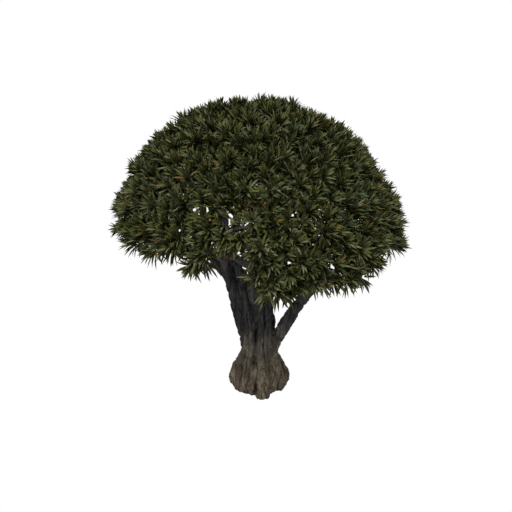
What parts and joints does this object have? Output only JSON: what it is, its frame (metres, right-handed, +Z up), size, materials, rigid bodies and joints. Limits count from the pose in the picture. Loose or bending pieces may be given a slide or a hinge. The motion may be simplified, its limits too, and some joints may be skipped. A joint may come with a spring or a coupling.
{
  "type": "dragon tree",
  "caption": "Mature dragon tree: flared fused trunk, steep forking limbs and a broad umbrella crown of sword-leaf rosettes, cut flat at ground level.",
  "frame": {"origin": "centre of the flat cut under the trunk, at ground level", "axes": "+Z up the tree; -Y towards the side usually seen; +X to the right of that side"},
  "size_m": [7.2972, 7.3147, 8.0033],
  "materials": {
    "trunk_bark": "rough furrowed bark",
    "limb_bark": "rough dark bark",
    "leaves": "satin leaf"
  },
  "bodies": {
    "root": {"trunk": "trunk_bark", "stem_right": "limb_bark", "bough_rim_01": "limb_bark", "bough_rim_02": "limb_bark", "bough_middle_02": "limb_bark", "stem_right_back": "limb_bark", "bough_rim_03": "limb_bark", "bough_rim_04": "limb_bark", "bough_middle_03": "limb_bark", "stem_back": "limb_bark", "bough_rim_05": "limb_bark", "bough_rim_06": "limb_bark", "bough_middle_05": "limb_bark", "stem_left_back": "limb_bark", "bough_rim_07": "limb_bark", "bough_rim_08": "limb_bark", "bough_middle_06": "limb_bark", "stem_left": "limb_bark", "bough_rim_09": "limb_bark", "bough_rim_10": "limb_bark", "bough_middle_08": "limb_bark", "stem_front": "limb_bark", "bough_rim_11": "limb_bark", "bough_rim_12": "limb_bark", "bough_middle_09": "limb_bark", "foliage_top_01": "leaves", "foliage_top_02": "leaves", "foliage_top_03": "leaves", "foliage_middle_01": "leaves", "foliage_middle_02": "leaves", "foliage_middle_03": "leaves", "foliage_middle_04": "leaves", "foliage_middle_05": "leaves", "foliage_middle_06": "leaves", "foliage_middle_07": "leaves", "foliage_middle_08": "leaves", "foliage_middle_09": "leaves", "foliage_rim_01": "leaves", "foliage_rim_02": "leaves", "foliage_rim_03": "leaves", "foliage_rim_04": "leaves", "foliage_rim_05": "leaves", "foliage_rim_06": "leaves", "foliage_rim_07": "leaves", "foliage_rim_08": "leaves", "foliage_rim_09": "leaves", "foliage_rim_10": "leaves", "foliage_rim_11": "leaves", "foliage_rim_12": "leaves"}
  },
  "joints": []
}
